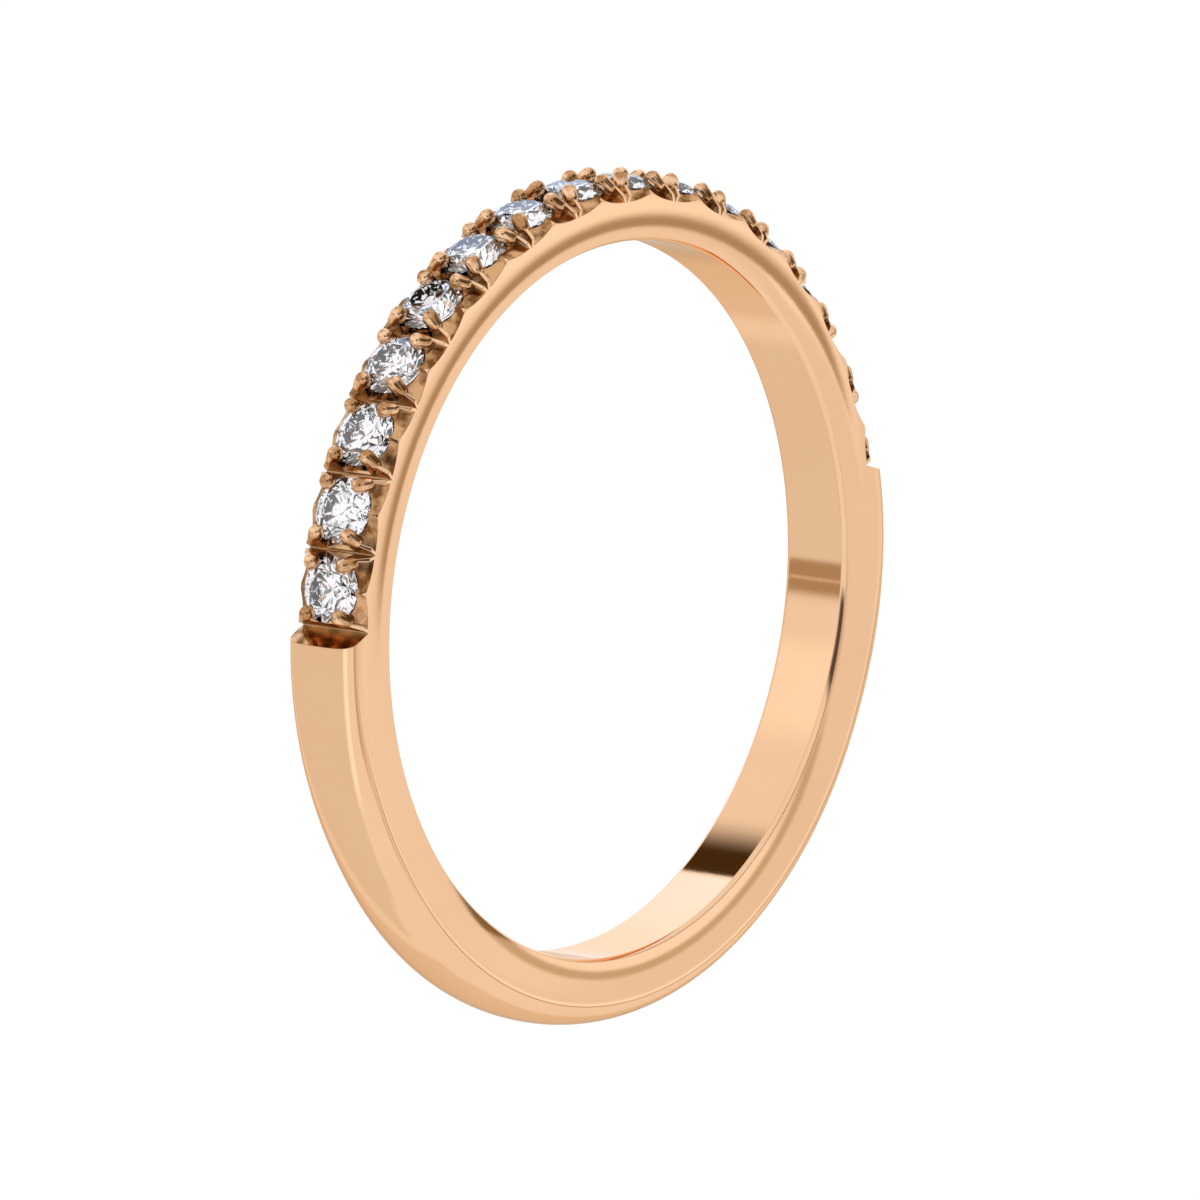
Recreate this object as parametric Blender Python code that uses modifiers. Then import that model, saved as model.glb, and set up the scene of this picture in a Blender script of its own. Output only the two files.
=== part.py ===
"""Half-eternity wedding band: a plain rose-gold shank whose upper half is cut down into split prongs
that hold fifteen round brilliant stones.

Metres, +Z up. The finger hole's axis is Y and its centre is the origin; the middle stone is on +Z.
"""

import math

import bmesh
import bpy
from mathutils import Matrix, Vector

MM = 0.001

# Band
BORE_RADIUS = 8.65 * MM
BAND_WIDTH = 2.00 * MM
SHANK_OUTER_RADIUS = 10.32 * MM
SHOULDER_RADIUS = 9.84 * MM
SHOULDER_FULLNESS = 2.3
DOME_STEPS = 8
INNER_WIDTH = 1.82 * MM
FLANK_RADIUS = 9.10 * MM
COMFORT_HEIGHT = 0.07 * MM
COMFORT_WIDTH = 0.11 * MM
RING_STEPS = 96

# Row of stones
STONE_COUNT = 15
STONE_PITCH = math.radians(10.97)
GIRDLE_PLANE_RADIUS = 9.88 * MM
PRONG_TOP_RADIUS = 10.12 * MM
PRONG_TOP_HALF_WIDTH = 0.66 * MM
WALL_SPRING_RADIUS = 9.77 * MM
CUT_DOWN_ANGLE = 0.50 * STONE_COUNT * STONE_PITCH + math.radians(0.1)
END_GROOVE_WIDTH = 0.38 * MM

# Round brilliant
STONE_DIAMETER = 1.60 * MM
TABLE_SHARE = 0.57
CROWN_SHARE = 0.15
GIRDLE_SHARE = 0.03
PAVILION_SHARE = 0.43
SEAT_GAP = 0.025 * MM
WELL_RADIUS = 0.78 * MM
WELL_SIDES = 16

# Claws: one at each corner of a stone, from its foot to the tip that laps over the stone's edge,
# each end as (round the ring, along the axis, outwards) from the stone's middle
CLAW_FOOT = (0.70 * MM, 0.64 * MM, 9.95 * MM)
CLAW_FOOT_RADIUS = 0.16 * MM
CLAW_TIP = (0.62 * MM, 0.49 * MM, 10.09 * MM)
CLAW_TIP_RADIUS = 0.195 * MM
BALL_SIDES = 6
BALL_RINGS = 2

# Cuts beside and between the stones
SCALLOP_CUSP_RADIUS = 9.82 * MM
SCALLOP_DIP = 0.045 * MM
SCALLOP_FOOT_RADIUS = 9.60 * MM
SCALLOP_FOOT_ACROSS = 0.83 * MM
SCALLOP_TOP_ACROSS = 0.62 * MM
SCALLOP_INNER_Y = 0.50 * MM
SCALLOP_SLOPE = 0.62
NOTCH_FLOOR_RADIUS = 9.61 * MM
NOTCH_HALF_WIDTH = 0.19 * MM
GUTTER_HALF_LENGTH = 0.42 * MM
GUTTER_HALF_WIDTH = 0.30 * MM
GUTTER_FLOOR_RADIUS = 9.70 * MM
CUT_OVERSHOOT = 0.6 * MM

ROSE_GOLD = (0.87, 0.60, 0.42)
DIAMOND_WHITE = (0.93, 0.94, 0.97)


def clear_scene():
    for thing in list(bpy.data.objects):
        bpy.data.objects.remove(thing, do_unlink=True)
    for name in ("Collection",):
        if name in bpy.data.collections:
            bpy.data.collections.remove(bpy.data.collections[name])


def new_collection(name, hidden=False):
    collection = bpy.data.collections.new(name)
    collection.hide_render = hidden
    bpy.context.scene.collection.children.link(collection)
    return collection


def new_material(name, colour, roughness, metallic):
    material = bpy.data.materials.new(name)
    material.use_nodes = True
    shader = material.node_tree.nodes["Principled BSDF"]
    shader.inputs["Base Color"].default_value = (*colour, 1.0)
    shader.inputs["Roughness"].default_value = roughness
    shader.inputs["Metallic"].default_value = metallic
    return material


def object_from_bmesh(name, shape, collection):
    bmesh.ops.recalc_face_normals(shape, faces=shape.faces)
    mesh = bpy.data.meshes.new(name)
    shape.to_mesh(mesh)
    shape.free()
    made = bpy.data.objects.new(name, mesh)
    collection.objects.link(made)
    return made


def stone_angle(index):
    """Angle from +Z towards +X of stone 0 to STONE_COUNT - 1."""
    return (index - (STONE_COUNT - 1) / 2) * STONE_PITCH


def turned(angle):
    """Local X runs round the ring, Y along its axis and Z outwards, at this angle from the top."""
    return Matrix.Rotation(angle, 4, "Y")


def add_hull(shape, points, placing):
    """Adds the convex body around these local points."""
    corners = [shape.verts.new(placing @ Vector(point)) for point in points]
    hull = bmesh.ops.convex_hull(shape, input=corners)
    unused = [part for part in hull["geom_interior"] if isinstance(part, bmesh.types.BMVert)]
    bmesh.ops.delete(shape, geom=unused, context="VERTS")


def turned_object(name, profile, start, sweep, steps, collection):
    """A closed profile of (radius, y) points turned round the Y axis with a Screw modifier."""
    shape = bmesh.new()
    corners = [shape.verts.new((radius, 0.0, -y)) for radius, y in profile]
    for first, second in zip(corners, corners[1:] + corners[:1]):
        shape.edges.new((first, second))
    mesh = bpy.data.meshes.new(name)
    shape.to_mesh(mesh)
    shape.free()
    made = bpy.data.objects.new(name, mesh)
    collection.objects.link(made)
    screw = made.modifiers.new("turn", "SCREW")
    screw.axis = "Z"
    screw.angle = sweep
    screw.steps = steps
    screw.render_steps = steps
    screw.use_merge_vertices = True
    screw.merge_threshold = 1e-7
    made.matrix_world = Matrix.Rotation(start, 4, "Y") @ Matrix.Rotation(math.radians(90), 4, "X")
    return made


def apply_modifiers(thing):
    """Leaves the object with its evaluated mesh at the world's axes."""
    bpy.context.view_layer.update()
    graph = bpy.context.evaluated_depsgraph_get()
    mesh = bpy.data.meshes.new_from_object(thing.evaluated_get(graph))
    mesh.transform(thing.matrix_world)
    thing.modifiers.clear()
    thing.data = mesh
    thing.matrix_world = Matrix.Identity(4)


def close_ends(thing):
    """Caps a part-turned shape and turns its faces outwards."""
    shape = bmesh.new()
    shape.from_mesh(thing.data)
    bmesh.ops.remove_doubles(shape, verts=shape.verts, dist=1e-8)
    open_edges = [edge for edge in shape.edges if edge.is_boundary]
    if open_edges:
        bmesh.ops.holes_fill(shape, edges=open_edges, sides=0)
    bmesh.ops.recalc_face_normals(shape, faces=shape.faces)
    shape.to_mesh(thing.data)
    shape.free()


def shank_profile():
    """Domed outside, sides that are flat beside the finger and lean out above, softened bore edge."""
    half = BAND_WIDTH / 2
    inner = INNER_WIDTH / 2
    outside = [(FLANK_RADIUS, -inner)]
    for step in range(DOME_STEPS + 1):
        turn = (step / DOME_STEPS - 0.5) * math.pi
        across = math.copysign(abs(math.sin(turn)) ** (2 / SHOULDER_FULLNESS), turn)
        rise = math.cos(turn) ** (2 / SHOULDER_FULLNESS)
        dome = (SHANK_OUTER_RADIUS - SHOULDER_RADIUS) * rise
        outside.append((SHOULDER_RADIUS + dome, across * half))
    outside.append((FLANK_RADIUS, inner))
    inside = [
        (BORE_RADIUS + COMFORT_HEIGHT, inner),
        (BORE_RADIUS, inner - COMFORT_WIDTH),
        (BORE_RADIUS, -inner + COMFORT_WIDTH),
        (BORE_RADIUS + COMFORT_HEIGHT, -inner),
    ]
    return outside + inside


def cut_down_cutter(collection):
    """Removes the shank's shoulders over the stones, and leaves a ridge that narrows to the prongs."""
    outside = SHANK_OUTER_RADIUS + CUT_OVERSHOOT
    half = BAND_WIDTH / 2
    clear = half + CUT_OVERSHOOT
    profile = [
        (outside, -clear),
        (outside, clear),
        (WALL_SPRING_RADIUS, clear),
        (WALL_SPRING_RADIUS, half + 0.02 * MM),
        (PRONG_TOP_RADIUS, PRONG_TOP_HALF_WIDTH),
        (PRONG_TOP_RADIUS, -PRONG_TOP_HALF_WIDTH),
        (WALL_SPRING_RADIUS, -half - 0.02 * MM),
        (WALL_SPRING_RADIUS, -clear),
    ]
    cutter = turned_object(
        "cut_down_cutter",
        profile,
        CUT_DOWN_ANGLE - math.pi / 2,
        2 * CUT_DOWN_ANGLE,
        45,
        collection,
    )
    apply_modifiers(cutter)
    close_ends(cutter)
    return cutter


def brilliant_rings(diameter, gap=0.0):
    """Rings of (points, radius, height, half-step turn) of a round brilliant, girdle at height 0."""
    girdle = diameter / 2 + gap
    table = girdle * TABLE_SHARE
    crown = diameter * CROWN_SHARE
    band = diameter * GIRDLE_SHARE / 2
    pavilion = diameter * PAVILION_SHARE
    return [
        (8, table, band + crown + gap, 0.5),
        (8, girdle * 0.80, band + crown * 0.62 + gap * 0.9, 0.0),
        (16, girdle, band + gap * 0.4, 0.0),
        (16, girdle, -band - gap * 0.4, 0.0),
        (8, girdle * 0.24, -band - pavilion * 0.78 - gap, 0.5),
        (1, 0.0, -band - pavilion - gap, 0.0),
    ]


def brilliant_points(diameter, gap=0.0):
    points = []
    for count, radius, height, half_step in brilliant_rings(diameter, gap):
        for place in range(count):
            turn = 2 * math.pi * (place + half_step) / count
            points.append((radius * math.cos(turn), radius * math.sin(turn), height))
    return points


def stone_placing(index):
    return turned(stone_angle(index)) @ Matrix.Translation((0.0, 0.0, GIRDLE_PLANE_RADIUS))


def well_cutter(collection):
    """Opens the ridge above each girdle, so that only the claws stand over the stones."""
    shape = bmesh.new()
    for index in range(STONE_COUNT):
        points = []
        for place in range(WELL_SIDES):
            turn = 2 * math.pi * place / WELL_SIDES
            across = WELL_RADIUS * math.cos(turn)
            along = WELL_RADIUS * math.sin(turn)
            points += [(across, along, 0.0), (across, along, CUT_OVERSHOOT)]
        add_hull(shape, points, stone_placing(index))
    return object_from_bmesh("well_cutter", shape, collection)


def seat_cutter(collection):
    """Each stone's shape with clearance, cut through its claws and its bearing."""
    shape = bmesh.new()
    for index in range(STONE_COUNT):
        add_hull(shape, brilliant_points(STONE_DIAMETER, SEAT_GAP), stone_placing(index))
    return object_from_bmesh("seat_cutter", shape, collection)


def scallop_outline(side):
    """Half of the scallop below a stone, from the cusp in its middle to the foot of a prong."""
    top = PRONG_TOP_RADIUS + CUT_OVERSHOOT
    lean = (SCALLOP_FOOT_ACROSS - SCALLOP_TOP_ACROSS) / (PRONG_TOP_RADIUS - SCALLOP_FOOT_RADIUS)
    top_across = SCALLOP_FOOT_ACROSS - lean * (top - SCALLOP_FOOT_RADIUS)
    middle = (SCALLOP_CUSP_RADIUS + SCALLOP_FOOT_RADIUS) / 2 - SCALLOP_DIP
    return [
        (-side * 0.02 * MM, top),
        (-side * 0.02 * MM, SCALLOP_CUSP_RADIUS + 0.01 * MM),
        (side * SCALLOP_FOOT_ACROSS * 0.45, middle),
        (side * SCALLOP_FOOT_ACROSS, SCALLOP_FOOT_RADIUS),
        (side * top_across, top),
    ]


def scallop_cutter(name, side, collection):
    """One lobe, towards the next (+1) or previous (-1) stone, of the scallop below every stone."""
    shape = bmesh.new()
    wall_y = BAND_WIDTH / 2
    for index in range(STONE_COUNT):
        for face in (-1, 1):
            points = []
            for y in (SCALLOP_INNER_Y, wall_y + CUT_OVERSHOOT):
                rise = (wall_y - y) * SCALLOP_SLOPE
                points += [(across, face * y, height + rise) for across, height in scallop_outline(side)]
            add_hull(shape, points, turned(stone_angle(index)))
    return object_from_bmesh(name, shape, collection)


def ball_points(centre, radius):
    points = []
    for ring in range(BALL_RINGS):
        lift = math.pi * (ring + 1) / (BALL_RINGS + 1)
        for place in range(BALL_SIDES):
            turn = 2 * math.pi * place / BALL_SIDES
            flat = math.sin(lift)
            ray = Vector((math.cos(turn) * flat, math.sin(turn) * flat, math.cos(lift)))
            points.append(Vector(centre) + ray * radius)
    return points


def claw_body(collection):
    """The rounded ends of the prongs, joined to the band before the seats are cut."""
    shape = bmesh.new()
    for index in range(STONE_COUNT):
        for along in (-1, 1):
            for face in (-1, 1):
                points = []
                for (x, y, z), radius in ((CLAW_FOOT, CLAW_FOOT_RADIUS), (CLAW_TIP, CLAW_TIP_RADIUS)):
                    points += ball_points((along * x, face * y, z), radius)
                add_hull(shape, points, turned(stone_angle(index)))
    return object_from_bmesh("claw_body", shape, collection)


def gutter_cutter(collection):
    """The open gap across the band between neighbouring stones, inside their prongs."""
    shape = bmesh.new()
    top = PRONG_TOP_RADIUS + CUT_OVERSHOOT
    for index in range(1, STONE_COUNT):
        points = [
            (across, y, height)
            for across in (-GUTTER_HALF_WIDTH, GUTTER_HALF_WIDTH)
            for y in (-GUTTER_HALF_LENGTH, GUTTER_HALF_LENGTH)
            for height in (GUTTER_FLOOR_RADIUS, top)
        ]
        add_hull(shape, points, turned(stone_angle(index) - STONE_PITCH / 2))
    return object_from_bmesh("gutter_cutter", shape, collection)


def notch_cutter(collection):
    """The V between two stones' prongs, wider where the last prongs meet the shank."""
    shape = bmesh.new()
    top = PRONG_TOP_RADIUS + CUT_OVERSHOOT
    widest = NOTCH_HALF_WIDTH * (top - NOTCH_FLOOR_RADIUS) / (PRONG_TOP_RADIUS - NOTCH_FLOOR_RADIUS)
    groove = END_GROOVE_WIDTH * (top - NOTCH_FLOOR_RADIUS) / (SHANK_OUTER_RADIUS - NOTCH_FLOOR_RADIUS)
    outer_y = BAND_WIDTH / 2 + CUT_OVERSHOOT
    for index in range(STONE_COUNT + 1):
        angle = stone_angle(index) - STONE_PITCH / 2
        across = [(0.0, NOTCH_FLOOR_RADIUS), (-widest, top), (widest, top)]
        if index in (0, STONE_COUNT):
            out = -1 if index == 0 else 1
            across[1:] = [(-out * widest, top), (out * groove, top)]
        points = [(x, y, z) for y in (-outer_y, outer_y) for x, z in across]
        add_hull(shape, points, turned(angle))
    return object_from_bmesh("notch_cutter", shape, collection)


def combine(thing, other, operation="DIFFERENCE"):
    """Boolean with the MANIFOLD solver: EXACT leaves open edges where these thin prongs are cut."""
    other.display_type = "WIRE"
    other.hide_render = True
    modifier = thing.modifiers.new(other.name, "BOOLEAN")
    modifier.operation = operation
    modifier.solver = "MANIFOLD"
    modifier.object = other


def build_band(parts, cutters, material):
    band = turned_object("band", shank_profile(), 0.0, 2 * math.pi, RING_STEPS, parts)
    apply_modifiers(band)
    close_ends(band)
    combine(band, cut_down_cutter(cutters))
    combine(band, scallop_cutter("scallop_cutter_forward", 1, cutters))
    combine(band, scallop_cutter("scallop_cutter_back", -1, cutters))
    combine(band, notch_cutter(cutters))
    combine(band, gutter_cutter(cutters))
    combine(band, well_cutter(cutters))
    combine(band, claw_body(cutters), "UNION")
    combine(band, seat_cutter(cutters))
    band.data.materials.append(material)
    return band


def build_stones(parts, material):
    shape = bmesh.new()
    add_hull(shape, brilliant_points(STONE_DIAMETER), Matrix.Identity(4))
    first = object_from_bmesh("diamond_01", shape, parts)
    first.data.materials.append(material)
    first.matrix_world = stone_placing(0)
    for index in range(1, STONE_COUNT):
        stone = bpy.data.objects.new(f"diamond_{index + 1:02d}", first.data)
        parts.objects.link(stone)
        stone.matrix_world = stone_placing(index)


def main():
    clear_scene()
    parts = new_collection("wedding_band")
    cutters = new_collection("cutters", hidden=True)
    gold = new_material("rose_gold", ROSE_GOLD, 0.08, 1.0)
    diamond = new_material("diamond", DIAMOND_WHITE, 0.0, 0.0)
    band = build_band(parts, cutters, gold)
    build_stones(parts, diamond)
    apply_modifiers(band)
    band.data.shade_smooth()
    band.data.set_sharp_from_angle(angle=math.radians(30))


main()
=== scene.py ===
"""Looks of the half-eternity wedding band: fine gold mesh, faceted brilliants, studio light."""

import math

import bmesh
import bpy
from mathutils import Matrix, Vector


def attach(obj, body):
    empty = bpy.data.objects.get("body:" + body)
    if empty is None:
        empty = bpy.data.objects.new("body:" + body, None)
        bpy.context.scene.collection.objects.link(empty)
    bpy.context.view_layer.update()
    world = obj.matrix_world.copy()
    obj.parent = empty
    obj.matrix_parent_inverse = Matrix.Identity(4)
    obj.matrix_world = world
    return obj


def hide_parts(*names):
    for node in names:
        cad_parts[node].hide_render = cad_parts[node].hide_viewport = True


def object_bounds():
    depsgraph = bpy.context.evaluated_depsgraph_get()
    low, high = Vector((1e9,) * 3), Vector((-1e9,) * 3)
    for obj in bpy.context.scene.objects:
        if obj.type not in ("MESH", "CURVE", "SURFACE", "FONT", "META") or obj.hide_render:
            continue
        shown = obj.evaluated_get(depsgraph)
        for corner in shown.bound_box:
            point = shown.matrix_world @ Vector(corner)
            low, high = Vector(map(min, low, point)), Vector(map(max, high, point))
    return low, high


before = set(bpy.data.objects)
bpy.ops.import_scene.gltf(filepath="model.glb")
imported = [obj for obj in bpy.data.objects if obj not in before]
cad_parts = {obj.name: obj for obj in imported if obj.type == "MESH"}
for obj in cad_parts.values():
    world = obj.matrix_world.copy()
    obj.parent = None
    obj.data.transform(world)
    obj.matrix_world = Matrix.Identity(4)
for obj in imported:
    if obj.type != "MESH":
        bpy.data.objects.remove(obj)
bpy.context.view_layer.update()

MM = 0.001

# Band: nearly as in the CAD model, but squarer beside the stones
BORE_RADIUS = 8.65 * MM
BAND_WIDTH = 2.00 * MM
SHANK_OUTER_RADIUS = 10.33 * MM
SHOULDER_RADIUS = 9.77 * MM
SHOULDER_FULLNESS = 2.1
STEP_OUTER_RADIUS = 10.29 * MM
STEP_SHOULDER_RADIUS = 9.92 * MM
STEP_FULLNESS = 3.4
STEP_BLEND = (math.radians(84), math.radians(122))
INNER_WIDTH = 1.82 * MM
COMFORT_HEIGHT = 0.072 * MM
COMFORT_WIDTH = 0.11 * MM
COMFORT_BEND = (0.8, 0.2)
BORE_ROWS = (0.5 * MM, 0.0, -0.5 * MM)
SHARP_ANGLE = math.radians(28)

# Resolution
RING_STEPS = 720
CUT_DOWN_STEPS = 360
DOME_STEPS = 48
SIDE_STEPS = 18
COMFORT_STEPS = 6
SCALLOP_STEPS = 12
CIRCLE_STEPS = 48
BALL_RINGS = 12
BALL_TURNS = 20

# Row of stones
STONE_COUNT = 15
STONE_PITCH = math.radians(10.97)
GIRDLE_PLANE_RADIUS = 9.88 * MM
STONE_RADIUS = 0.80 * MM
SEAT_GAP = 0.012 * MM
SEAT_TABLE_SHARE = 0.57
SEAT_TABLE_LIFT = 0.27 * MM
SEAT_GIRDLE_TOP = 0.018 * MM
SEAT_GIRDLE_FOOT = -0.07 * MM
SEAT_POINT = -0.80 * MM
WELL_RADIUS = 0.785 * MM
PRONG_TOP_RADIUS = 10.12 * MM
PRONG_TOP_HALF_WIDTH = 0.66 * MM
WALL_SPRING_RADIUS = 9.77 * MM
WALL_SPRING_MARGIN = 0.02 * MM
CUT_DOWN_ANGLE = 0.50 * STONE_COUNT * STONE_PITCH + math.radians(0.1)
END_GROOVE_WIDTH = 0.38 * MM
CLAW_FOOT = (0.70 * MM, 0.64 * MM, 9.95 * MM)
CLAW_FOOT_RADIUS = 0.16 * MM
CLAW_TIP = (0.62 * MM, 0.49 * MM, 10.09 * MM)
CLAW_TIP_RADIUS = 0.195 * MM
SCALLOP_CUSP_RADIUS = 9.82 * MM
SCALLOP_DIP = 0.045 * MM
SCALLOP_FOOT_RADIUS = 9.60 * MM
SCALLOP_FOOT_ACROSS = 0.83 * MM
SCALLOP_TOP_ACROSS = 0.62 * MM
SCALLOP_INNER_Y = 0.50 * MM
SCALLOP_SLOPE = 0.62
SCALLOP_OVERLAP = 0.01 * MM
SCALLOP_CUSP_EDGE = 0.006 * MM
NOTCH_FLOOR_RADIUS = 9.61 * MM
NOTCH_HALF_WIDTH = 0.19 * MM
GUTTER_HALF_LENGTH = 0.42 * MM
GUTTER_HALF_WIDTH = 0.30 * MM
GUTTER_FLOOR_RADIUS = 9.70 * MM
CUT_OVERSHOOT = 0.6 * MM

# Camera, from the ring's centre
CAMERA_AZIMUTH = math.radians(-50.47)
CAMERA_ELEVATION = math.radians(13.45)
CAMERA_ROLL = math.radians(-3.02)
CAMERA_DISTANCE = 519.0 * MM
CAMERA_RIGHT = 0.208 * MM
CAMERA_UP = -0.093 * MM
CAMERA_LENS = 650.0

FLOOR_DROP = 0.03 * MM
FLOOR_RADIUS = 3.0
FLOOR_GLOW = 1.04
FLOOR_GLOW_SHARE = 0.97


# ---------------------------------------------------------------- mesh helpers

def turned(angle):
    """Local X runs round the ring, Y along its axis and Z outwards, at this angle from the top."""
    return Matrix.Rotation(angle, 4, "Y")


def stone_angle(index):
    return (index - (STONE_COUNT - 1) / 2) * STONE_PITCH


def stone_placing(index):
    return turned(stone_angle(index)) @ Matrix.Translation((0.0, 0.0, GIRDLE_PLANE_RADIUS))


def add_hull(shape, points, placing):
    corners = [shape.verts.new(placing @ Vector(point)) for point in points]
    hull = bmesh.ops.convex_hull(shape, input=corners)
    unused = [part for part in hull["geom_interior"] if isinstance(part, bmesh.types.BMVert)]
    bmesh.ops.delete(shape, geom=unused, context="VERTS")


def object_from_bmesh(name, shape):
    bmesh.ops.recalc_face_normals(shape, faces=shape.faces)
    mesh = bpy.data.meshes.new(name)
    shape.to_mesh(mesh)
    shape.free()
    made = bpy.data.objects.new(name, mesh)
    bpy.context.scene.collection.objects.link(made)
    return made


def turned_mesh(name, profile, start, sweep, steps):
    """A closed profile turned round the ring's axis, capped if it's part-turned.

    profile gives the (radius, y) points for an angle from the top.
    """
    shape = bmesh.new()
    whole = abs(sweep - 2 * math.pi) < 1e-6
    rings = []
    for step in range(steps if whole else steps + 1):
        angle = start + sweep * step / steps
        out = Vector((math.sin(angle), 0.0, math.cos(angle)))
        corners = [out * radius + Vector((0.0, y, 0.0)) for radius, y in profile(angle)]
        rings.append([shape.verts.new(corner) for corner in corners])
    pairs = list(zip(rings, rings[1:] + rings[:1])) if whole else list(zip(rings, rings[1:]))
    for ring, following in pairs:
        for place in range(len(ring)):
            after = (place + 1) % len(ring)
            shape.faces.new((ring[place], ring[after], following[after], following[place]))
    if not whole:
        shape.faces.new(rings[0])
        shape.faces.new(rings[-1][::-1])
    return object_from_bmesh(name, shape)


def combine(thing, other, material, operation="DIFFERENCE"):
    """Applies one Boolean, gives the faces it makes this material, and removes the operand."""
    other.data.materials.append(material)
    modifier = thing.modifiers.new("combine", "BOOLEAN")
    modifier.operation = operation
    modifier.solver = "MANIFOLD"
    modifier.material_mode = "TRANSFER"
    modifier.object = other
    bpy.context.view_layer.update()
    graph = bpy.context.evaluated_depsgraph_get()
    mesh = bpy.data.meshes.new_from_object(thing.evaluated_get(graph))
    thing.modifiers.clear()
    old = thing.data
    thing.data = mesh
    bpy.data.meshes.remove(old)
    bpy.data.objects.remove(other)


# ---------------------------------------------------------------- band

def crowned_side(shoulder):
    """The side face from finger edge to shoulder: a shallow crown, as (radius, half width)."""
    low = BORE_RADIUS + COMFORT_HEIGHT
    points = []
    for step in range(1, SIDE_STEPS):
        share = step / SIDE_STEPS
        half = BAND_WIDTH / 2 - (BAND_WIDTH - INNER_WIDTH) / 2 * (1 - share) ** 2
        points.append((low + (shoulder - low) * share, half))
    return points


def blend(first, last, share):
    return first + (last - first) * share


def shank_profile(angle):
    """The band's section at this angle from the top, with squarer shoulders near the stones."""
    from_top = abs(math.remainder(angle, 2 * math.pi))
    away = min(max((from_top - STEP_BLEND[0]) / (STEP_BLEND[1] - STEP_BLEND[0]), 0.0), 1.0)
    away = away * away * (3 - 2 * away)
    outer = blend(STEP_OUTER_RADIUS, SHANK_OUTER_RADIUS, away)
    shoulder = blend(STEP_SHOULDER_RADIUS, SHOULDER_RADIUS, away)
    fullness = blend(STEP_FULLNESS, SHOULDER_FULLNESS, away)
    half = BAND_WIDTH / 2
    inner = INNER_WIDTH / 2
    dome = []
    for step in range(DOME_STEPS + 1):
        swing = (step / DOME_STEPS - 0.5) * math.pi
        across = math.copysign(abs(math.sin(swing)) ** (2 / fullness), swing)
        rise = max(math.cos(swing), 0.0) ** (2 / fullness)
        dome.append((shoulder + (outer - shoulder) * rise, across * half))
    side = crowned_side(shoulder)
    comfort = []
    for step in range(COMFORT_STEPS + 1):
        share = step / COMFORT_STEPS
        lean = COMFORT_HEIGHT * (COMFORT_BEND[0] * share + COMFORT_BEND[1] * share * share)
        comfort.append((BORE_RADIUS + lean, inner - COMFORT_WIDTH * (1 - share)))
    comfort.reverse()
    back_comfort = [(radius, -y) for radius, y in reversed(comfort)]
    bore = [(BORE_RADIUS, y) for y in BORE_ROWS]
    return (
        [(radius, -y) for radius, y in side]
        + dome
        + [(radius, y) for radius, y in reversed(side)]
        + comfort
        + bore
        + back_comfort
    )


def cut_down_cutter():
    outside = SHANK_OUTER_RADIUS + CUT_OVERSHOOT
    half = BAND_WIDTH / 2
    clear = half + CUT_OVERSHOOT
    profile = [
        (outside, -clear),
        (outside, clear),
        (WALL_SPRING_RADIUS, clear),
        (WALL_SPRING_RADIUS, half + WALL_SPRING_MARGIN),
        (PRONG_TOP_RADIUS, PRONG_TOP_HALF_WIDTH),
        (PRONG_TOP_RADIUS, -PRONG_TOP_HALF_WIDTH),
        (WALL_SPRING_RADIUS, -half - WALL_SPRING_MARGIN),
        (WALL_SPRING_RADIUS, -clear),
    ]
    sweep = 2 * CUT_DOWN_ANGLE
    return turned_mesh("cut_down", lambda angle: profile, -CUT_DOWN_ANGLE, sweep, CUT_DOWN_STEPS)


def scallop_outline(side):
    top = PRONG_TOP_RADIUS + CUT_OVERSHOOT
    lean = (SCALLOP_FOOT_ACROSS - SCALLOP_TOP_ACROSS) / (PRONG_TOP_RADIUS - SCALLOP_FOOT_RADIUS)
    top_across = SCALLOP_FOOT_ACROSS - lean * (top - SCALLOP_FOOT_RADIUS)
    start = -side * SCALLOP_OVERLAP
    points = [(start, top), (start, SCALLOP_CUSP_RADIUS + SCALLOP_CUSP_EDGE)]
    for step in range(1, SCALLOP_STEPS + 1):
        share = step / SCALLOP_STEPS
        height = SCALLOP_CUSP_RADIUS + (SCALLOP_FOOT_RADIUS - SCALLOP_CUSP_RADIUS) * share
        height -= SCALLOP_DIP * 4 * share * (1 - share)
        points.append((side * SCALLOP_FOOT_ACROSS * share, height))
    points.append((side * top_across, top))
    return points


def scallop_cutter(side):
    shape = bmesh.new()
    wall_y = BAND_WIDTH / 2
    for index in range(STONE_COUNT):
        for face in (-1, 1):
            points = []
            for y in (SCALLOP_INNER_Y, wall_y + CUT_OVERSHOOT):
                rise = (wall_y - y) * SCALLOP_SLOPE
                for across, height in scallop_outline(side):
                    points.append((across, face * y, height + rise))
            add_hull(shape, points, turned(stone_angle(index)))
    return object_from_bmesh("scallops", shape)


def notch_cutter():
    shape = bmesh.new()
    top = PRONG_TOP_RADIUS + CUT_OVERSHOOT
    depth = top - NOTCH_FLOOR_RADIUS
    widest = NOTCH_HALF_WIDTH * depth / (PRONG_TOP_RADIUS - NOTCH_FLOOR_RADIUS)
    groove = END_GROOVE_WIDTH * depth / (STEP_OUTER_RADIUS - NOTCH_FLOOR_RADIUS)
    outer_y = BAND_WIDTH / 2 + CUT_OVERSHOOT
    for index in range(STONE_COUNT + 1):
        across = [(0.0, NOTCH_FLOOR_RADIUS), (-widest, top), (widest, top)]
        if index in (0, STONE_COUNT):
            out = -1 if index == 0 else 1
            across[1:] = [(-out * widest, top), (out * groove, top)]
        points = [(x, y, z) for y in (-outer_y, outer_y) for x, z in across]
        add_hull(shape, points, turned(stone_angle(index) - STONE_PITCH / 2))
    return object_from_bmesh("notches", shape)


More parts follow.
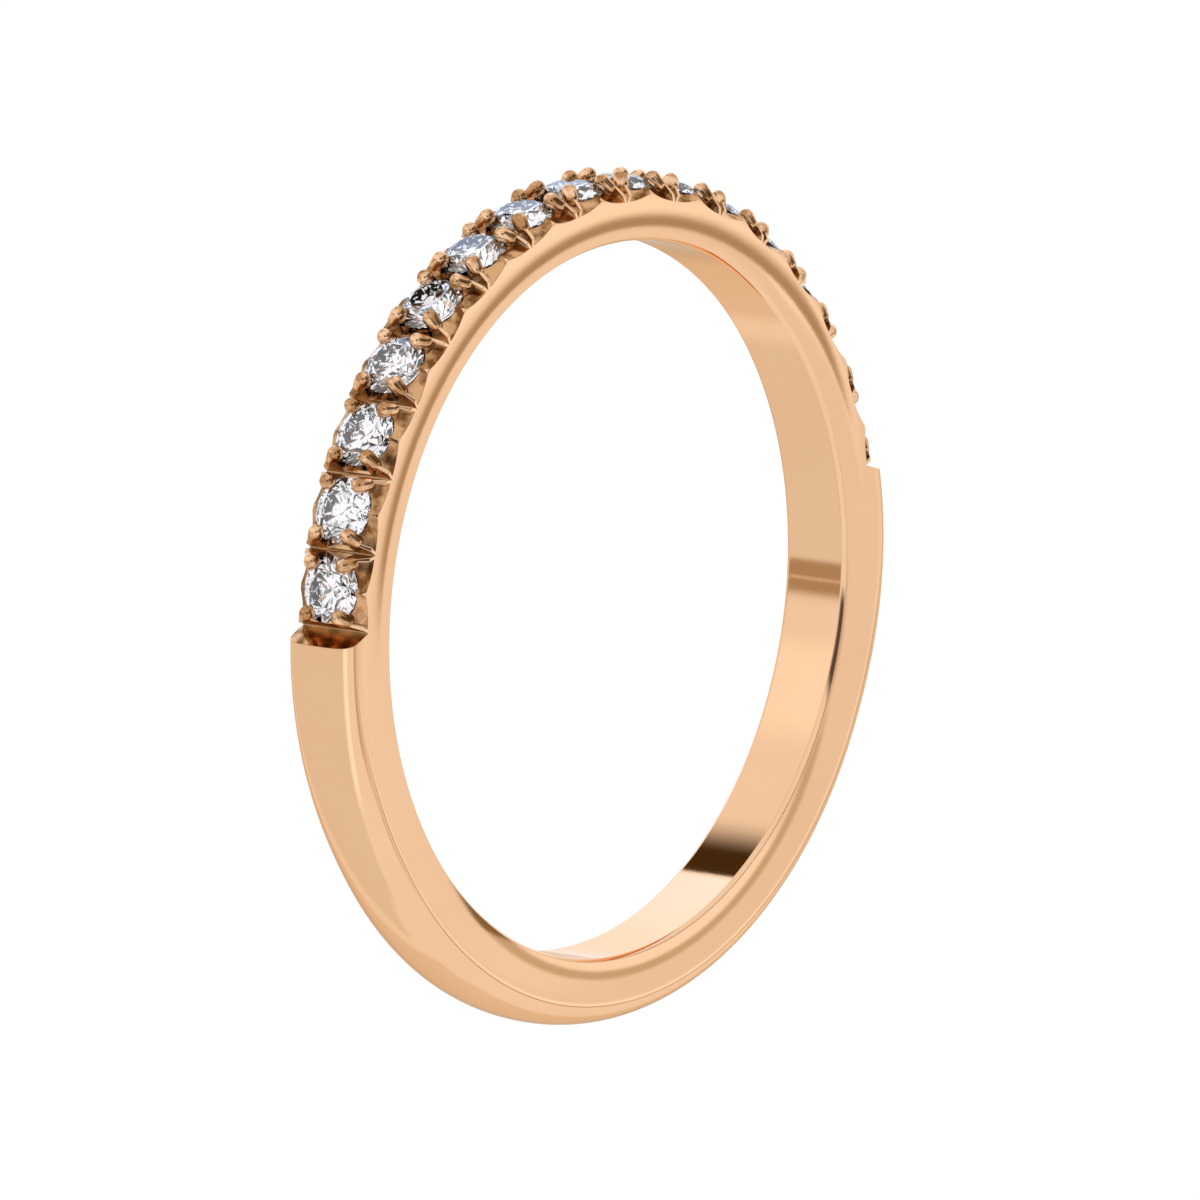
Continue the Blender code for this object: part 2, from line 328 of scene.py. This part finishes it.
def gutter_cutter():
    shape = bmesh.new()
    top = PRONG_TOP_RADIUS + CUT_OVERSHOOT
    for index in range(1, STONE_COUNT):
        points = [
            (across, y, height)
            for across in (-GUTTER_HALF_WIDTH, GUTTER_HALF_WIDTH)
            for y in (-GUTTER_HALF_LENGTH, GUTTER_HALF_LENGTH)
            for height in (GUTTER_FLOOR_RADIUS, top)
        ]
        add_hull(shape, points, turned(stone_angle(index) - STONE_PITCH / 2))
    return object_from_bmesh("gutters", shape)


def ball_points(centre, radius):
    points = []
    for ring in range(1, BALL_RINGS):
        lift = math.pi * ring / BALL_RINGS
        flat = math.sin(lift)
        for place in range(BALL_TURNS):
            turn = 2 * math.pi * place / BALL_TURNS
            ray = Vector((math.cos(turn) * flat, math.sin(turn) * flat, math.cos(lift)))
            points.append(Vector(centre) + ray * radius)
    return points


def claw_body():
    """Rounded claws that rise from the prongs and lean over the stones' edges."""
    shape = bmesh.new()
    ends = ((CLAW_FOOT, CLAW_FOOT_RADIUS), (CLAW_TIP, CLAW_TIP_RADIUS))
    for index in range(STONE_COUNT):
        for along in (-1, 1):
            for face in (-1, 1):
                points = []
                for (x, y, z), radius in ends:
                    points += ball_points((along * x, face * y, z), radius)
                add_hull(shape, points, turned(stone_angle(index)))
    return object_from_bmesh("claws", shape)


def circle(radius, height):
    turns = [2 * math.pi * place / CIRCLE_STEPS for place in range(CIRCLE_STEPS)]
    return [(math.cos(turn) * radius, math.sin(turn) * radius, height) for turn in turns]


def well_cutter():
    """Opens the ridge above each girdle, so that only the claws stand over the stones."""
    shape = bmesh.new()
    for index in range(STONE_COUNT):
        points = circle(WELL_RADIUS, 0.0) + circle(WELL_RADIUS, CUT_OVERSHOOT)
        add_hull(shape, points, stone_placing(index))
    return object_from_bmesh("wells", shape)


def seat_cutter():
    """Cones near each stone's outline, cut through its claws and its bearing.

    The crown's facets stand up to 0.017 mm past the upper cone and cut into the claws there.
    """
    shape = bmesh.new()
    girdle = STONE_RADIUS + SEAT_GAP
    for index in range(STONE_COUNT):
        points = circle(SEAT_TABLE_SHARE * girdle, SEAT_TABLE_LIFT)
        points += circle(girdle, SEAT_GIRDLE_TOP) + circle(girdle, SEAT_GIRDLE_FOOT)
        points.append((0.0, 0.0, SEAT_POINT))
        add_hull(shape, points, stone_placing(index))
    return object_from_bmesh("seats", shape)


def build_band(polished, cut, claw):
    band = turned_mesh("band_gold", shank_profile, 0.0, 2 * math.pi, RING_STEPS)
    band.data.materials.append(polished)
    combine(band, cut_down_cutter(), polished)
    combine(band, scallop_cutter(1), cut)
    combine(band, scallop_cutter(-1), cut)
    combine(band, notch_cutter(), cut)
    combine(band, gutter_cutter(), cut)
    combine(band, well_cutter(), cut)
    combine(band, claw_body(), claw, "UNION")
    combine(band, seat_cutter(), cut)
    band.data.shade_smooth()
    band.data.set_sharp_from_angle(angle=SHARP_ANGLE)
    return band


# ---------------------------------------------------------------- stones

CROWN_ANGLE = math.radians(34.5)
PAVILION_ANGLE = math.radians(40.8)
TABLE_SHARE = 0.57
STAR_SHARE = 0.765
LOWER_GIRDLE_SHARE = 0.22
GIRDLE_THICKNESS = 0.055
SAME_FACET_ANGLE = math.radians(1.0)
MIRROR_TOP = -0.60 * GIRDLE_THICKNESS * STONE_RADIUS
# The first stone's turn about its own axis, and the turn from each stone to the next, in degrees
STONE_SPIN = (17.0, 47.0)


def brilliant_points():
    """Corners of a 57-facet round brilliant of girdle radius 1, its girdle's top at height 0."""
    crown, pavilion = math.tan(CROWN_ANGLE), math.tan(PAVILION_ANGLE)
    eighth, sixteenth = math.radians(22.5), math.radians(11.25)
    overhang = 1 - math.cos(sixteenth)
    star_height = (1 - STAR_SHARE * math.cos(eighth)) * crown
    lower_height = (1 - LOWER_GIRDLE_SHARE * math.cos(eighth)) * pavilion
    upper_slope = star_height / (1 - overhang - STAR_SHARE * math.cos(sixteenth))
    lower_slope = lower_height / (1 - overhang - LOWER_GIRDLE_SHARE * math.cos(sixteenth))
    points = []
    for place in range(8):
        turn = place * 2 * eighth
        points.append((turn, TABLE_SHARE, (1 - TABLE_SHARE) * crown))
        points.append((turn + eighth, STAR_SHARE, star_height))
        points.append((turn + eighth, LOWER_GIRDLE_SHARE, -GIRDLE_THICKNESS - lower_height))
    for place in range(16):
        turn = place * eighth
        points.append((turn, 1.0, 0.0))
        points.append((turn, 1.0, -GIRDLE_THICKNESS))
        points.append((turn + sixteenth, 1.0, -overhang * upper_slope))
        points.append((turn + sixteenth, 1.0, -GIRDLE_THICKNESS + overhang * lower_slope))
    corners = [(r * math.cos(t), r * math.sin(t), height) for t, r, height in points]
    corners.append((0.0, 0.0, -GIRDLE_THICKNESS - pavilion))
    return corners


def build_stones():
    shape = bmesh.new()
    size = Matrix.Scale(STONE_RADIUS, 4)
    rise = Matrix.Translation((0.0, 0.0, GIRDLE_THICKNESS * STONE_RADIUS / 2))
    add_hull(shape, brilliant_points(), rise @ size)
    bmesh.ops.dissolve_limit(
        shape, angle_limit=SAME_FACET_ANGLE, verts=shape.verts, edges=shape.edges
    )
    first = object_from_bmesh("brilliant_01", shape)
    stones = [first]
    for index in range(1, STONE_COUNT):
        stone = bpy.data.objects.new(f"brilliant_{index + 1:02d}", first.data)
        bpy.context.scene.collection.objects.link(stone)
        stones.append(stone)
    for index, stone in enumerate(stones):
        spin = Matrix.Rotation(math.radians(STONE_SPIN[0] + STONE_SPIN[1] * index), 4, "Z")
        stone.matrix_world = stone_placing(index) @ spin
    return stones


# ---------------------------------------------------------------- materials

def new_material(name):
    material = bpy.data.materials.new(name)
    material.use_nodes = True
    tree = material.node_tree
    return material, tree, tree.nodes["Principled BSDF"]


def math_node(tree, operation, *values):
    node = tree.nodes.new("ShaderNodeMath")
    node.operation = operation
    for socket, value in zip(node.inputs, values):
        if isinstance(value, (int, float)):
            socket.default_value = value
        else:
            tree.links.new(value, socket)
    return node.outputs[0]


def gold_material(name, light, dark, painted_recess_shading, roughness, edge_radius, tone_and_shade_patch_scale):
    """Gold with a tone that drifts between light and dark, and painted shading deep in its recesses
    between prongs.
    """
    material, tree, shader = new_material(name)
    nodes, links = tree.nodes, tree.links
    shader.inputs["Metallic"].default_value = 1.0
    shader.inputs["Specular Tint"].default_value = (0.92, 0.76, 0.60, 1.0)
    place = nodes.new("ShaderNodeTexCoord")
    cloud = nodes.new("ShaderNodeTexNoise")
    cloud.inputs["Scale"].default_value = tone_and_shade_patch_scale
    cloud.inputs["Detail"].default_value = 3.0
    links.new(place.outputs["Object"], cloud.inputs["Vector"])
    colour = nodes.new("ShaderNodeMix")
    colour.data_type = "RGBA"
    colour.inputs["A"].default_value = (*light, 1.0)
    colour.inputs["B"].default_value = (*dark, 1.0)
    # The noise drifts the colour between light and dark. On the polished gold this is a faint drift
    # of tone; on the cut and claw gold the dark colour is painted shade and painted dark
    # reflections, in blotches.
    tone_and_painted_shade = nodes.new("ShaderNodeMapRange")
    tone_and_painted_shade.inputs["From Min"].default_value = 0.40
    tone_and_painted_shade.inputs["From Max"].default_value = 0.60
    links.new(cloud.outputs["Fac"], tone_and_painted_shade.inputs["Value"])
    links.new(tone_and_painted_shade.outputs["Result"], colour.inputs["Factor"])
    # Painted shading: ambient occlusion swaps in the recess colour deep in hollows and between
    # prongs. On the polished and claw gold it is painted shade; on the cut gold it is a paler
    # painted tone that holds back the red of light bounced between gold walls.
    recess = nodes.new("ShaderNodeAmbientOcclusion")
    recess.samples = 6
    recess.inputs["Distance"].default_value = 0.40 * MM
    open_share = nodes.new("ShaderNodeMapRange")
    open_share.inputs["From Min"].default_value = 0.10
    open_share.inputs["From Max"].default_value = 0.60
    links.new(recess.outputs["AO"], open_share.inputs["Value"])
    recess_shading_mix = nodes.new("ShaderNodeMix")
    recess_shading_mix.data_type = "RGBA"
    recess_shading_mix.inputs["A"].default_value = (*painted_recess_shading, 1.0)
    links.new(open_share.outputs["Result"], recess_shading_mix.inputs["Factor"])
    links.new(colour.outputs["Result"], recess_shading_mix.inputs["B"])
    links.new(recess_shading_mix.outputs["Result"], shader.inputs["Base Color"])
    rough = nodes.new("ShaderNodeMapRange")
    rough.inputs["To Min"].default_value = roughness[0]
    rough.inputs["To Max"].default_value = roughness[1]
    links.new(cloud.outputs["Fac"], rough.inputs["Value"])
    links.new(rough.outputs["Result"], shader.inputs["Roughness"])
    polish = nodes.new("ShaderNodeTexNoise")
    polish.inputs["Scale"].default_value = 9000.0
    polish.inputs["Detail"].default_value = 2.0
    links.new(place.outputs["Object"], polish.inputs["Vector"])
    bump = nodes.new("ShaderNodeBump")
    bump.inputs["Strength"].default_value = 0.02
    bump.inputs["Distance"].default_value = 0.00001
    links.new(polish.outputs["Fac"], bump.inputs["Height"])
    edge = nodes.new("ShaderNodeBevel")
    edge.samples = 6
    edge.inputs["Radius"].default_value = edge_radius
    links.new(edge.outputs["Normal"], bump.inputs["Normal"])
    links.new(bump.outputs["Normal"], shader.inputs["Normal"])
    return material


def diamond_material():
    """Clear above the girdle; the back half is a mirror, to send light back through the crown."""
    material, tree, shader = new_material("white_diamond")
    nodes, links = tree.nodes, tree.links
    shader.inputs["IOR"].default_value = 2.417
    place = nodes.new("ShaderNodeTexCoord")
    height = nodes.new("ShaderNodeSeparateXYZ")
    links.new(place.outputs["Object"], height.inputs["Vector"])
    crown = math_node(tree, "GREATER_THAN", height.outputs["Z"], MIRROR_TOP)
    links.new(crown, shader.inputs["Transmission Weight"])
    links.new(math_node(tree, "SUBTRACT", 1.0, crown), shader.inputs["Metallic"])
    cloud = nodes.new("ShaderNodeTexNoise")
    cloud.inputs["Scale"].default_value = 1800.0
    links.new(place.outputs["Object"], cloud.inputs["Vector"])
    tint = nodes.new("ShaderNodeMix")
    tint.data_type = "RGBA"
    tint.inputs["A"].default_value = (0.95, 0.955, 0.99, 1.0)
    tint.inputs["B"].default_value = (1.0, 0.99, 0.99, 1.0)
    links.new(cloud.outputs["Fac"], tint.inputs["Factor"])
    links.new(tint.outputs["Result"], shader.inputs["Base Color"])
    rough = nodes.new("ShaderNodeMapRange")
    rough.inputs["To Min"].default_value = 0.0
    rough.inputs["To Max"].default_value = 0.01
    links.new(cloud.outputs["Fac"], rough.inputs["Value"])
    links.new(rough.outputs["Result"], shader.inputs["Roughness"])
    return material


# ---------------------------------------------------------------- studio

def window(tree, value, low, high, soft_low, soft_high):
    """1 where value is between low and high, fading to 0 over the softness outside them."""
    shares = []
    for full, none in ((low, low - soft_low), (high, high + soft_high)):
        node = tree.nodes.new("ShaderNodeMapRange")
        node.interpolation_type = "SMOOTHSTEP"
        node.inputs["From Min"].default_value = none
        node.inputs["From Max"].default_value = full
        tree.links.new(value, node.inputs["Value"])
        shares.append(node.outputs["Result"])
    return math_node(tree, "MULTIPLY", *shares)


# Each card: azimuth from, to and their softness, elevation from, to and their softness, in degrees,
# then its colour. Azimuth 0 is in front of the ring (-Y) and 90 is to its right (+X).
CARDS = [
    ((-165, -100, 12, 10), (-64, 4, 8, 6), (0.78, 0.77, 0.74)),
    ((-160, -115, 8, 8), (22, 34, 8, 10), (1.02, 1.02, 1.02)),
    ((95, 170, 10, 10), (-76, -8, 6, 4), (0.80, 0.76, 0.70)),
    ((108, 156, 8, 8), (-32, -11, 8, 3), (0.70, 0.665, 0.61)),
    ((-168, -98, 10, 6), (-2, 4, 2, 3), (0.42, 0.33, 0.22)),
    ((-160, -110, 10, 6), (1.4, 1.9, 0.3, 0.3), (0.66, 0.56, 0.45)),
    ((112, 155, 8, 3), (0, 56, 4, 5), (1.12, 1.30, 1.65)),
    ((158, 168, 1.5, 20), (42, 60, 4, 4), (0.055, 0.030, 0.008)),
    ((33, 50, 2, 2), (-20, -5, 2, 2), (0.84, 0.82, 0.80)),
    ((44, 53, 2, 2), (-18, -14.5, 1.2, 1), (1.05, 1.06, 1.07)),
    ((40, 57, 3, 3), (-4.2, -1, 0.6, 3), (1.00, 1.01, 1.02)),
    ((68.5, 76, 1, 4), (-22, 0, 6, 6), (0.62, 0.56, 0.46)),
    ((28, 33, 2, 1.5), (-22, -6, 4, 3), (0.60, 0.53, 0.43)),
    ((36, 60, 3, 3), (-6.6, -5.4, 1.2, 0.8), (0.60, 0.53, 0.43)),
    ((59, 64, 1, 1.5), (-7, -2.5, 1, 1), (0.22, 0.16, 0.09)),
    ((-20, 22, 8, 8), (6, 40, 8, 10), (0.16, 0.13, 0.10)),
    ((-8, 16, 10, 8), (-20, 4, 6, 6), (0.60, 0.52, 0.42)),
    ((20, 62, 8, 8), (12, 40, 6, 10), (0.16, 0.13, 0.10)),
    ((-62, -38, 8, 8), (8, 26, 6, 8), (0.10, 0.09, 0.08)),
    ((-95, -83, 9, 6), (-36, 4, 14, 5), (1.06, 1.14, 1.20)),
]
# A curved dark strip: its centre, how much wider it is than tall, its inner and outer radii with
# their softness, and the elevations that it spans with theirs, in degrees
STRIP_CENTRE = (52.5, -15.2)
STRIP_STRETCH = 1.61
STRIP_RADII = (7.0, 8.3, 4.0, 1.3)
STRIP_LIFTS = (-30.0, -15.2, 3.0, 1.2)
STRIP_SHADE = (0.43, 0.35, 0.25)
BASE_LIGHT = (0.90, 0.895, 0.89)
STONE_LIGHT = 1.40


def build_world():
    world = bpy.data.worlds.new("studio")
    bpy.context.scene.world = world
    world.use_nodes = True
    tree = world.node_tree
    tree.nodes.clear()
    place = tree.nodes.new("ShaderNodeTexCoord")
    parts = tree.nodes.new("ShaderNodeSeparateXYZ")
    tree.links.new(place.outputs["Generated"], parts.inputs["Vector"])
    height = math_node(tree, "ARCSINE", parts.outputs["Z"])
    elevation = math_node(tree, "DEGREES", height)
    minus_y = math_node(tree, "MULTIPLY", parts.outputs["Y"], -1.0)
    azimuth = math_node(tree, "DEGREES", math_node(tree, "ARCTAN2", parts.outputs["X"], minus_y))
    masks = []
    for turns, lifts, shade in CARDS:
        middle = (turns[0] + turns[1]) / 2
        spare = math_node(tree, "WRAP", math_node(tree, "SUBTRACT", azimuth, middle), 180.0, -180.0)
        wide = window(tree, spare, turns[0] - middle, turns[1] - middle, turns[2], turns[3])
        masks.append((math_node(tree, "MULTIPLY", wide, window(tree, elevation, *lifts)), shade))
    across = math_node(tree, "SUBTRACT", azimuth, STRIP_CENTRE[0])
    along = math_node(tree, "SUBTRACT", elevation, STRIP_CENTRE[1])
    along = math_node(tree, "MULTIPLY", along, STRIP_STRETCH)
    squares = [math_node(tree, "MULTIPLY", value, value) for value in (across, along)]
    distance = math_node(tree, "SQRT", math_node(tree, "ADD", *squares))
    ring = window(tree, distance, *STRIP_RADII)
    strip = math_node(tree, "MULTIPLY", ring, window(tree, elevation, *STRIP_LIFTS))
    masks.append((strip, STRIP_SHADE))
    colour = None
    for mask, shade in masks:
        mix = tree.nodes.new("ShaderNodeMix")
        mix.data_type = "RGBA"
        tree.links.new(mask, mix.inputs["Factor"])
        mix.inputs["B"].default_value = (*shade, 1.0)
        if colour is None:
            mix.inputs["A"].default_value = (*BASE_LIGHT, 1.0)
        else:
            tree.links.new(colour, mix.inputs["A"])
        colour = mix.outputs["Result"]
    path = tree.nodes.new("ShaderNodeLightPath")
    grey = tree.nodes.new("ShaderNodeRGBToBW")
    tree.links.new(colour, grey.inputs["Color"])
    through = tree.nodes.new("ShaderNodeMix")
    through.data_type = "RGBA"
    tree.links.new(path.outputs["Is Transmission Ray"], through.inputs["Factor"])
    tree.links.new(colour, through.inputs["A"])
    bright = math_node(tree, "MULTIPLY", grey.outputs["Val"], STONE_LIGHT)
    tree.links.new(bright, through.inputs["B"])
    seen = tree.nodes.new("ShaderNodeBackground")
    tree.links.new(through.outputs["Result"], seen.inputs["Color"])
    plain = tree.nodes.new("ShaderNodeBackground")
    plain.inputs["Color"].default_value = (1.0, 1.0, 1.0, 1.0)
    choose = tree.nodes.new("ShaderNodeMixShader")
    tree.links.new(path.outputs["Is Camera Ray"], choose.inputs["Fac"])
    tree.links.new(seen.outputs["Background"], choose.inputs[1])
    tree.links.new(plain.outputs["Background"], choose.inputs[2])
    out = tree.nodes.new("ShaderNodeOutputWorld")
    tree.links.new(choose.outputs["Shader"], out.inputs["Surface"])


def build_floor():
    shape = bmesh.new()
    bmesh.ops.create_circle(shape, cap_ends=True, segments=64, radius=FLOOR_RADIUS)
    floor = object_from_bmesh("floor", shape)
    floor.location.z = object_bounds()[0][2] - FLOOR_DROP
    material, tree, shader = new_material("pale_floor")
    shader.inputs["Base Color"].default_value = (0.9, 0.9, 0.9, 1.0)
    shader.inputs["Roughness"].default_value = 1.0
    shader.inputs["Specular IOR Level"].default_value = 0.0
    glow = tree.nodes.new("ShaderNodeEmission")
    glow.inputs["Color"].default_value = (1.0, 1.0, 1.0, 1.0)
    glow.inputs["Strength"].default_value = FLOOR_GLOW
    mix = tree.nodes.new("ShaderNodeMixShader")
    mix.inputs["Fac"].default_value = FLOOR_GLOW_SHARE
    tree.links.new(shader.outputs["BSDF"], mix.inputs[1])
    tree.links.new(glow.outputs["Emission"], mix.inputs[2])
    tree.links.new(mix.outputs["Shader"], tree.nodes["Material Output"].inputs["Surface"])
    floor.data.materials.append(material)
    floor.visible_glossy = False
    floor.visible_transmission = False
    floor.visible_diffuse = False


def build_camera():
    back = Vector((
        math.sin(CAMERA_AZIMUTH) * math.cos(CAMERA_ELEVATION),
        -math.cos(CAMERA_AZIMUTH) * math.cos(CAMERA_ELEVATION),
        math.sin(CAMERA_ELEVATION),
    ))
    level = Vector((math.cos(CAMERA_AZIMUTH), math.sin(CAMERA_AZIMUTH), 0.0))
    rise = back.cross(level)
    right = level * math.cos(CAMERA_ROLL) + rise * math.sin(CAMERA_ROLL)
    up = rise * math.cos(CAMERA_ROLL) - level * math.sin(CAMERA_ROLL)
    camera = bpy.data.objects.new("camera", bpy.data.cameras.new("camera"))
    bpy.context.scene.collection.objects.link(camera)
    place = back * CAMERA_DISTANCE + right * CAMERA_RIGHT + up * CAMERA_UP
    rows = [(*(axis[row] for axis in (right, up, back)), place[row]) for row in range(3)]
    camera.matrix_world = Matrix((*rows, (0.0, 0.0, 0.0, 1.0)))
    camera.data.sensor_width = 36.0
    camera.data.lens = CAMERA_LENS
    camera.data.clip_start = 0.01
    camera.data.clip_end = 20.0
    bpy.context.scene.camera = camera


def main():
    band = build_band(
        # Its recess colour is painted shade between the prongs.
        gold_material(
            "polished_rose_gold",
            light=(1.0, 0.640, 0.392),
            dark=(0.985, 0.622, 0.374),
            painted_recess_shading=(0.60, 0.36, 0.20),
            roughness=(0.035, 0.075),
            edge_radius=0.032 * MM,
            tone_and_shade_patch_scale=260.0,
        ),
        # A darker copy of the gold for the faces that the cuts leave: painted shade in the hollows,
        # with dark blotches that are painted dark reflections.
        gold_material(
            "cut_gold_painted_shade",
            light=(0.76, 0.430, 0.215),
            dark=(0.20, 0.080, 0.022),
            painted_recess_shading=(0.72, 0.600, 0.440),
            roughness=(0.08, 0.18),
            edge_radius=0.035 * MM,
            tone_and_shade_patch_scale=2600.0,
        ),
        # The claws' gold: its dark blotches are painted dark reflections, and its recess colour is
        # painted shade.
        gold_material(
            "claw_gold_painted_reflections",
            light=(1.0, 0.640, 0.392),
            dark=(0.52, 0.270, 0.115),
            painted_recess_shading=(0.50, 0.350, 0.210),
            roughness=(0.07, 0.14),
            edge_radius=0.035 * MM,
            tone_and_shade_patch_scale=3200.0,
        ),
    )
    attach(band, "root")
    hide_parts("band")
    diamond = diamond_material()
    for index, stone in enumerate(build_stones()):
        stone.data.materials.append(diamond)
        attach(stone, "root")
        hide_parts(f"diamond_{index + 1:02d}")
    build_world()
    build_floor()
    build_camera()
    bpy.context.scene.view_settings.view_transform = "Standard"


main()
